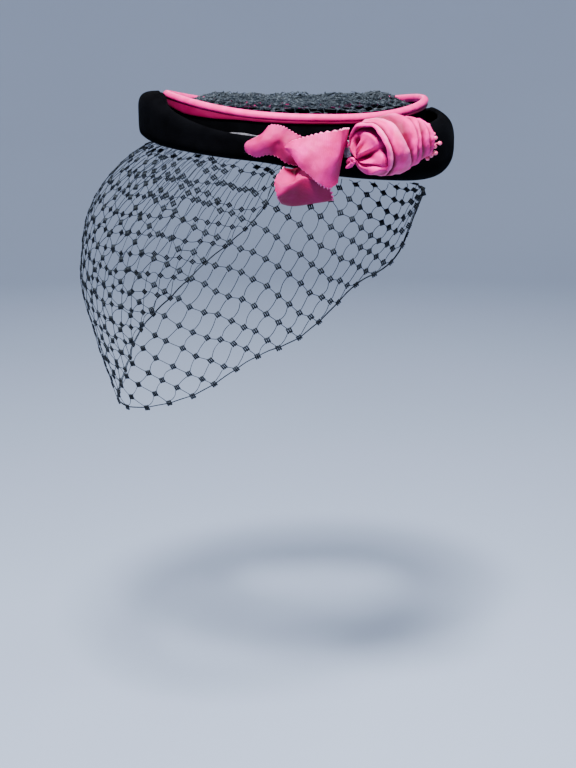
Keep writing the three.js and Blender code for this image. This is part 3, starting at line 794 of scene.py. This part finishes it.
bowLoop = [
    [(-8.4, -2.3, 2.6), (-6.8, -2.6, 3.0), (-4.1, -2.8, 3.6), (-1.4, -2.2, 4.6), (1.2, -1.5, 6.5), (7.0, -3.0, 8.0)],
    [(-9.4, -1.6, 7.0), (-7.9, -4.3, 8.0), (-5.2, -6.4, 9.0), (-2.8, -6.8, 9.6), (0.4, -3.2, 10.4),
     (6.9, -5.4, 10.4)],
    [(-14.0, -8.5, 10.5), (-11.3, -8.4, 11.6), (-7.8, -9.1, 12.8), (-4.1, -8.9, 13.2), (-0.3, -5.9, 12.8),
     (7.4, -6.9, 11.6)],
    [(-13.0, -16.7, 12.2), (-9.2, -13.7, 13.8), (-5.2, -10.8, 14.8), (-1.2, -8.1, 14.8), (3.2, -6.9, 13.8),
     (10.6, -9.0, 12.0)],
    [(-11.8, -19.2, 9.4), (-7.7, -18.0, 10.6), (-3.1, -16.6, 11.4), (2.0, -14.7, 11.4), (8.0, -13.4, 11.0),
     (17.3, -13.6, 10.0)],
    [(-9.9, -21.6, 4.6), (-6.1, -22.4, 5.8), (-1.2, -22.3, 6.4), (4.8, -21.4, 6.4), (11.3, -20.5, 6.4),
     (18.7, -19.4, 6.0)],
    [(-9.2, -20.4, 2.0), (-5.7, -20.9, 2.0), (-1.3, -20.7, 2.0), (4.8, -19.6, 2.0), (10.8, -18.8, 2.0),
     (17.4, -18.0, 2.2)],
    [(-7.3, -10.1, 1.3), (-5.1, -10.7, 1.2), (-1.8, -11.2, 1.1), (2.6, -11.3, 1.1), (7.0, -11.3, 1.1),
     (11.4, -11.3, 1.2)],
]


def bowFrame():  # stands on the velvet: x along the ring towards its back, y up, z outwards
    angle = ribbon["bowAt"]
    origin = ringPoint(angle, cuffAt(angle)[2] + ring["gap"], 0)
    outward = (ringPoint(angle, cuffAt(angle)[2] + ring["gap"] + 1, 0) - origin).normalized()
    up = Vector((0, 0, 1))
    return Matrix((up.cross(outward), up, outward)).transposed(), origin


def addRibbon(name, folds, node, size, paintedShade, cutEnd=False):  # the last table gives painted shade along the ribbon, where its folds turn away from the light
    turned, origin = bowFrame()
    rows = [[Vector(point) for point in row] for row in folds]
    columns, across = round(size[0] / ribbon["step"]), ribbon["across"]
    tooth = ribbon["tooth"]

    def surface(u, v):
        if v in (0.0, 1.0) and round(u * columns) % 2:  # pinked edges
            v += tooth / size[1] * (1 if v == 0 else -1)
        if cutEnd and u == 1.0 and round(v * across) % 2:
            u -= tooth / size[0]
        point = splineAt([splineAt([row[k] for row in rows], u) for k in range(len(rows[0]))], v)
        return origin + turned @ (point + Vector((0, 0, ripples(point, ribbon["crumple"]))))

    # paler at the cut edges, elsewhere the painted shade from the table
    def shadeAndPale(u, v):
        edge = v in (0.0, 1.0) or (cutEnd and u == 1.0)
        return 0.8 if edge else -rowAt(paintedShade, u)[0]

    piece = addPiece(name, clothGrid(columns, across, surface, size, shadeAndPale), ribbonSatin, [node],
                     wall=ribbon["wall"])
    return piece


# painted shade along each part: the tail turned down, the panel's right fold, the loop's hollow and lower half
addRibbon("ribbonTail", bowTail, "bow_tail", (32, 17), [(0, 0.75), (0.12, 0.5), (0.3, 0.62), (0.42, 0.45), (1, 0.42)],
          cutEnd=True)
addRibbon("ribbonPanel", bowPanel, "bow_panel", (46, 25), [(0, 0.1), (0.2, 0.0), (0.5, 0.0), (0.6, 0.35), (0.8, 0.6),
                                                         (1, 0.9)])
addRibbon("ribbonLoop", bowLoop, "bow_loop", (43, 25), [(0, 0.95), (0.1, 0.9), (0.16, 0.55), (0.3, 0.45), (0.4, 0.45),
                                                      (0.46, 0.78), (0.7, 0.82), (1, 0.95)])

print("rose")
rose = {
    "rimAt": (102.345, -15.978, 9.0),
    "axis": (-0.16556, 0.98249, 0.08541),
    "length": 39,
    "wall": 0.5,
    "columns": 140,
    "seedStep": 3.1,
    # radius by the share of the length from the open rim (0) to the tip (1)
    "profile": [(-0.1, 12.8), (0, 13.4), (0.19, 14.7), (0.386, 15.4), (0.573, 14.9), (0.684, 13.6), (0.76, 12.6),
                (0.86, 11.5), (0.97, 10.1), (1.12, 8.2)],
    # free edges of the wound ribbon, as (direction, share): 0 faces outwards, 90 down, -90 up
    "edges": [
        [(-180, 0.05), (-130, 0.0), (-90, 0.0), (-63, 0.04), (-40, 0.06), (-18, 0.075), (0, 0.095), (26, 0.13),
         (43, 0.16), (64, 0.2), (90, 0.22), (115, 0.24), (145, 0.22), (165, 0.12), (180, 0.05)],
        [(-180, 0.42), (-120, 0.16), (-90, 0.12), (-66, 0.2), (-48, 0.268), (-35, 0.295), (-19, 0.32), (-3, 0.35),
         (13, 0.4), (26, 0.45), (38, 0.49), (55, 0.53), (100, 0.55), (150, 0.5), (180, 0.42)],
        [(-180, 0.6), (-120, 0.66), (-65, 0.66), (-39, 0.624), (-21, 0.61), (-6, 0.595), (9, 0.58), (23, 0.575),
         (39, 0.6), (90, 0.64), (180, 0.6)],
        [(-180, 0.78), (-120, 0.84), (-64, 0.83), (-30, 0.76), (-9, 0.72), (13, 0.705), (31, 0.74), (90, 0.78),
         (180, 0.78)],
        [(-180, 0.92), (-90, 0.95), (-56, 0.945), (-35, 0.935), (-16, 0.925), (1, 0.915), (12, 0.92), (41, 0.96),
         (90, 0.96), (180, 0.92)],
        [(-180, 1.04), (-45, 1.035), (0, 1.05), (22, 1.06), (50, 1.075), (110, 1.06), (180, 1.04)],
    ],
    # each band of ribbon from its hidden start to its free edge: place between two edges, lift in millimetres
    "band": [(-0.3, -1.9), (0.02, -1.5), (0.3, -0.5), (0.65, 0.4), (0.93, 1.1), (1.0, 1.0), (1.01, 0.4),
             (0.93, -0.4)],
    "lip": [(0.5, -4.6), (0.32, -3.6), (0.15, -2.7), (0.03, -1.7), (-0.02, -1.0), (-0.03, -0.3), (0.0, 0.3),
            (0.03, -0.1), (0.045, -0.7), (0.06, -1.2)],
    "firstBand": [(0.5, -1.4), (0.3, -1.1), (0.2, -0.5), (0.19, 0.2), (0.24, 0.6), (0.4, 0.5), (0.65, 0.6),
                  (0.93, 1.0), (1.0, 0.9), (1.01, 0.35), (0.95, -0.3)],
    "tip": [(0.9, 0.7), (1.0, 0.5), (1.02, -0.6), (0.9, -1.4), (0.4, -1.8)],
    # folds of the heart: direction from the gathering stitch (0 towards the viewer's right, 90 down), how far it
    # stands out near the stitch and near its outline, how far it reaches
    "heartAt": (-10.1, 4.9, -0.4),
    "heartFolds": [
        (-125, -1.5, -1.5, 5.6), (-104, -0.8, -1.0, 11.4), (-90, 1.4, 0.2, 14.6), (-82, -2.2, 0.2, 16.2),
        (-68, -4.8, 0.2, 18.4), (-58, -3.8, 0.2, 19.8), (-50, 2.2, 0.0, 20.4), (-40, -0.4, -0.4, 21.2),
        (-31, 1.6, -1.0, 21.6), (-24, 2.2, -1.8, 21.6), (-19.5, 2.8, -2.4, 20.8), (-15.5, -2.4, -4.2, 19.2),
        (-9, -4.0, -4.0, 19.6), (-2, -3.4, -2.6, 20.8), (5, -1.8, -2.0, 21.2), (12, 1.2, -1.8, 20.6),
        (15.5, 2.4, -2.0, 20.0), (18, -2.6, -3.4, 19.8), (25, 0.0, -1.2, 19.2), (33, 2.0, -0.2, 17.4),
        (42, 0.6, 0.0, 15.2), (60, -0.4, -0.4, 10.2), (80, -1.2, -1.2, 7.0), (110, -1.6, -1.6, 4.4),
    ],
    # the gathered end of the ribbon beside the stitch, as (direction, reach, how far it stands out)
    "endFolds": [(140, 5.5, -1.0), (155, 9.0, 0.8), (166, 8.6, -0.8), (178, 8.0, -0.2), (192, 7.0, -1.4),
                 (206, 4.5, -1.0)],
    "ripples": [(1.0, 0.9), (2.6, 0.45)],  # fineness and height
    "heartSwell": 1.2,
    "heartTuck": 6.5,  # how deep its outer edge turns in
    "threads": [(-10.4, 5.1, -1.6, 1.5, 1.4), (-14.4, -4.4, -0.6, 0.9, 1.7)],  # loops: x, y, depth, width, height
    "threadRadius": 0.55,
}
roseTurn = Vector((0, 0, 1)).rotation_difference(Vector(rose["axis"])).to_matrix()
roseNodes = ["stamen_%d" % k for k in range(1, 9)]


def onRose(x, y, z):
    return Vector(rose["rimAt"]) + roseTurn @ Vector((x, y, z))


def roseRadius(share):
    return rowAt(rose["profile"], share)[0]


def bandSurface(first, stops, seed, closed):
    def surface(u, v):
        turn = mix(math.pi, -math.pi, u)
        start, end = (rowAt(rose["edges"][k], math.degrees(turn))[0] for k in (first, first + 1))
        spot = splineAt([Vector((*stop, 0)) for stop in stops], v)
        share = start + spot.x if stops is rose["lip"] else mix(start, end, spot.x)
        radius = roseRadius(share) + spot.y
        if closed and v > 0.999:
            radius = 0.0
        ripple = Vector((math.cos(turn) * 1.6, math.sin(turn) * 1.6, share * 9 + seed))
        if not closed or v <= 0.9:
            radius += sum(noise.noise(ripple * fineness) * height for fineness, height in rose["ripples"])
        return onRose(radius * math.cos(turn), radius * math.sin(turn), share * rose["length"])
    return surface


# painted shade inside the rim, painted highlight over the rolled lip
def lipShadeAndHighlight(u, v):
    return 0.4 * ease((v - 0.6) / 0.1) - ease((0.5 - v) / 0.15)


def bandShadeAndHighlight(u, v):  # painted highlight towards its free edge, painted shade where it comes out from under the one before
    return 0.35 * ease((v - 0.55) / 0.25) - 0.9 * ease((0.5 - v) / 0.2)


# painted shade, deeper towards the closed tip
def tipShade(u, v):
    return -0.8 * ease((v - 0.35) / 0.3)


def roseWrapping():
    wrap = bmesh.new()
    wrap.loops.layers.uv.new("weave")
    # painted shade and highlight marks of the wound bands
    wrap.verts.layers.float.new("shadeAndPale")
    columns, count = rose["columns"], len(rose["edges"]) - 1
    pour(clothGrid(columns, 40, bandSurface(0, rose["lip"], 0, False), (100, 20), lipShadeAndHighlight), wrap)
    for k in range(count):
        stops = rose["band"] if k else rose["firstBand"]
        pour(clothGrid(columns, 30, bandSurface(k, stops, k * rose["seedStep"], False), (100, 20), bandShadeAndHighlight), wrap)
    last = bandSurface(count - 1, rose["tip"], count * rose["seedStep"], True)
    pour(clothGrid(columns, 16, last, (100, 14), tipShade), wrap)
    return wrap


addPiece("roseWrap", roseWrapping(), ribbonSatin, ["rose_wrap"], wall=rose["wall"])


def heartSurface(u, v):
    angle = mix(rose["heartFolds"][0][0], rose["heartFolds"][-1][0], u)
    near, far, reach = rowAt(rose["heartFolds"], angle)
    way = math.radians(angle)
    spread = mix(0.04, 1.0, v)
    x = rose["heartAt"][0] + math.cos(way) * reach * spread
    y = rose["heartAt"][1] + math.sin(way) * reach * spread
    stand = near * math.sin(math.pi * clamp(v / 0.9)) * (1 - ease((v - 0.35) / 0.4)) + far * ease((v - 0.35) / 0.4)
    swell = rose["heartSwell"] * (1 - math.sin(math.pi * min(v * 1.1, 1)))
    tuck = rose["heartTuck"] * ease((v - 0.84) / 0.16)
    wobble = noise.noise(Vector((x, y, 4)) / 5) * 0.4
    return onRose(x, y, rose["heartAt"][2] - stand + swell + tuck + wobble)


# painted shade in the sunken folds and where the outer edge turns in
def heartShade(u, v):
    near, far, reach = rowAt(rose["heartFolds"], mix(rose["heartFolds"][0][0], rose["heartFolds"][-1][0], u))
    inner = -0.32 * min(near + 1, 0) * ease((0.85 - v) / 0.35)
    return -clamp(inner + 0.8 * ease((v - 0.88) / 0.1), 0, 0.9)


def endSurface(u, v):  # the gathered ribbon end that sticks out beside the stitch
    angle = mix(rose["endFolds"][0][0], rose["endFolds"][-1][0], u)
    reach, stand = rowAt(rose["endFolds"], angle)
    way = math.radians(angle)
    spread = mix(0.05, 1.0, v)
    x = rose["heartAt"][0] + math.cos(way) * reach * spread
    y = rose["heartAt"][1] + math.sin(way) * reach * spread
    return onRose(x, y, rose["heartAt"][2] - stand * ease(v * 1.5) + 0.4)


def roseHeart():
    heart = clothGrid(200, 30, heartSurface, (90, 20), heartShade)
    # the gathered end: paler at its first edge, painted shade further round
    pour(clothGrid(30, 12, endSurface, (12, 9), lambda u, v: 0.5 if u == 0 else -0.6 * ease((u - 0.2) / 0.3)), heart)
    loops = []
    for x, y, depth, wide, tall in rose["threads"]:
        turns = [2 * math.pi * k / 14 for k in range(15)]
        loops.append([onRose(x + wide * math.cos(t), y + tall * math.sin(t), depth + 0.3 * math.sin(t))
                      for t in turns])
    pour(threadsFrom(loops, rose["threadRadius"], 8), heart)
    return heart


addPiece("roseHeart", roseHeart(), ribbonSatin, ["rose_heart"], wall=0.45, rounds=1)

stem = {
    "diameter": 4,
    "length": 9,
    "along": 26.6,
    "rise": 7.5,
    "out": -1.2,
    "wraps": 6,
    "tape": 0.28,
    "waist": 0.12,
}


def stemSurface(u, v):
    turned, origin = bowFrame()
    turn = 2 * math.pi * u
    cap = 0.0 if v in (0.0, 1.0) else 1.0
    tape = ((v * stem["wraps"] + u) % 1.0) * stem["tape"]
    radius = (stem["diameter"] / 2 - 0.15 + tape) * cap * (1 - stem["waist"] * math.cos(2 * math.pi * v))
    height = stem["rise"] + stem["length"] * (clamp(v * 1.06 - 0.03) - 0.5)
    local = Vector((stem["along"] + radius * math.cos(turn), height, stem["out"] + radius * math.sin(turn)))
    return origin + turned @ local


addPiece("roseStem", clothGrid(24, 60, stemSurface, (13, 9)), stemTape, ["rose_stem"])

stamens = {
    "bead": 1.2,
    "thread": 0.32,
    "depth": 43.4,
    "stagger": 0.9,
    "rootDepth": 39.0,
    "rootSpread": 0.72,
    "places": [(7.7, -1.3), (7.8, 1.0), (9.6, 4.2), (7.1, 5.5), (5.9, 9.0), (1.3, 10.0), (0.0, 11.4), (-5.2, 6.0),
               (-6.4, -1.0), (-2.4, -6.6), (3.6, -6.4)],
}


def stamenBunch():
    paths, beads = [], []
    for k, (x, y) in enumerate(stamens["places"]):
        tip = Vector((x, y, stamens["depth"] + (k % 3) * stamens["stagger"]))
        root = Vector((x * stamens["rootSpread"], y * stamens["rootSpread"], stamens["rootDepth"]))
        middle = (root + tip) / 2 + Vector((x * 0.04, y * 0.04, -0.3))
        paths.append([onRose(*point) for point in (root, middle, tip)])
        beads.append((onRose(*tip), (tip - middle).normalized()))
    bunch = threadsFrom(paths, stamens["thread"], 6)
    for place, way in beads:
        swell = stamens["bead"] * chance.uniform(0.9, 1.1) * mm
        turned = (roseTurn @ way).to_track_quat("Z", "Y").to_matrix().to_4x4()
        bmesh.ops.create_uvsphere(bunch, u_segments=16, v_segments=10, radius=1.0,
                                  matrix=Matrix.Translation(place * mm) @ turned
                                  @ Matrix.Diagonal((swell, swell, swell * 1.15, 1)))
    return bunch


addPiece("stamenBunch", stamenBunch(), beadGloss, roseNodes)

print("studio")
studio = {
    "floorZ": -0.37,
    "reach": 2.4,
    "cove": 0.7,
    "height": 2.6,
    "backdrop": (0.27, 0.325, 0.44),
    "world": (0.6, 0.66, 0.8),
    "worldStrength": 0.2,
}


def addStudio():
    sweep = bmesh.new()
    stops = [(0, 0), (0.6, 0), (studio["reach"] - studio["cove"], 0)]
    for k in range(1, 9):
        turn = math.pi / 2 * k / 8
        stops.append((studio["reach"] - studio["cove"] * (1 - math.sin(turn)), studio["cove"] * (1 - math.cos(turn))))
    stops.append((studio["reach"], studio["height"]))
    verts = [sweep.verts.new((x, 0, z + studio["floorZ"])) for x, z in stops]
    edges = [sweep.edges.new(pair) for pair in zip(verts, verts[1:])]
    bmesh.ops.spin(sweep, geom=verts + edges, axis=(0, 0, 1), cent=(0, 0, 0), steps=96, angle=2 * math.pi,
                   use_merge=True)
    bmesh.ops.remove_doubles(sweep, verts=sweep.verts, dist=0.0001)
    mesh = bpy.data.meshes.new("backdrop")
    sweep.to_mesh(mesh)
    sweep.free()
    mesh.shade_smooth()
    paper = newFinish("paperSweep", studio["backdrop"], 0.9, Specular_IOR_Level=0.2)
    grain(paper, mottle(paper, 3, tuple(c * 0.985 for c in studio["backdrop"]), studio["backdrop"]), 220, 0.1, 0.2)
    mesh.materials.append(paper)
    backdrop = bpy.data.objects.new("backdrop", mesh)
    scene.collection.objects.link(backdrop)
    world = bpy.data.worlds.new("studioAir")
    world.use_nodes = True
    air = world.node_tree.nodes["Background"]
    air.inputs["Color"].default_value = (*studio["world"], 1)
    air.inputs["Strength"].default_value = studio["worldStrength"]
    scene.world = world


def addLight(name, azimuth, elevation, distance, size, power, colour=(1, 1, 1)):
    turn, rise = math.radians(azimuth), math.radians(elevation)
    lamp = bpy.data.lights.new(name, "AREA")
    lamp.shape = "DISK"
    lamp.size = size
    lamp.energy = power
    lamp.color = colour
    holder = bpy.data.objects.new(name, lamp)
    way = Vector((math.sin(turn) * math.cos(rise), -math.cos(turn) * math.cos(rise), math.sin(rise)))
    holder.location = way * distance
    holder.rotation_euler = (-way).to_track_quat("-Z", "Y").to_euler()
    scene.collection.objects.link(holder)


addStudio()
addLight("keyLight", 56, 57, 1.3, 0.28, 88, (1.0, 0.985, 0.98))
addLight("topLight", 140, 70, 1.4, 0.5, 12)
addLight("fillLight", 100, 12, 1.6, 1.0, 3, (0.9, 0.95, 1.0))
addLight("farLight", -110, 35, 1.7, 0.9, 9, (0.92, 0.96, 1.0))

print("dressed")
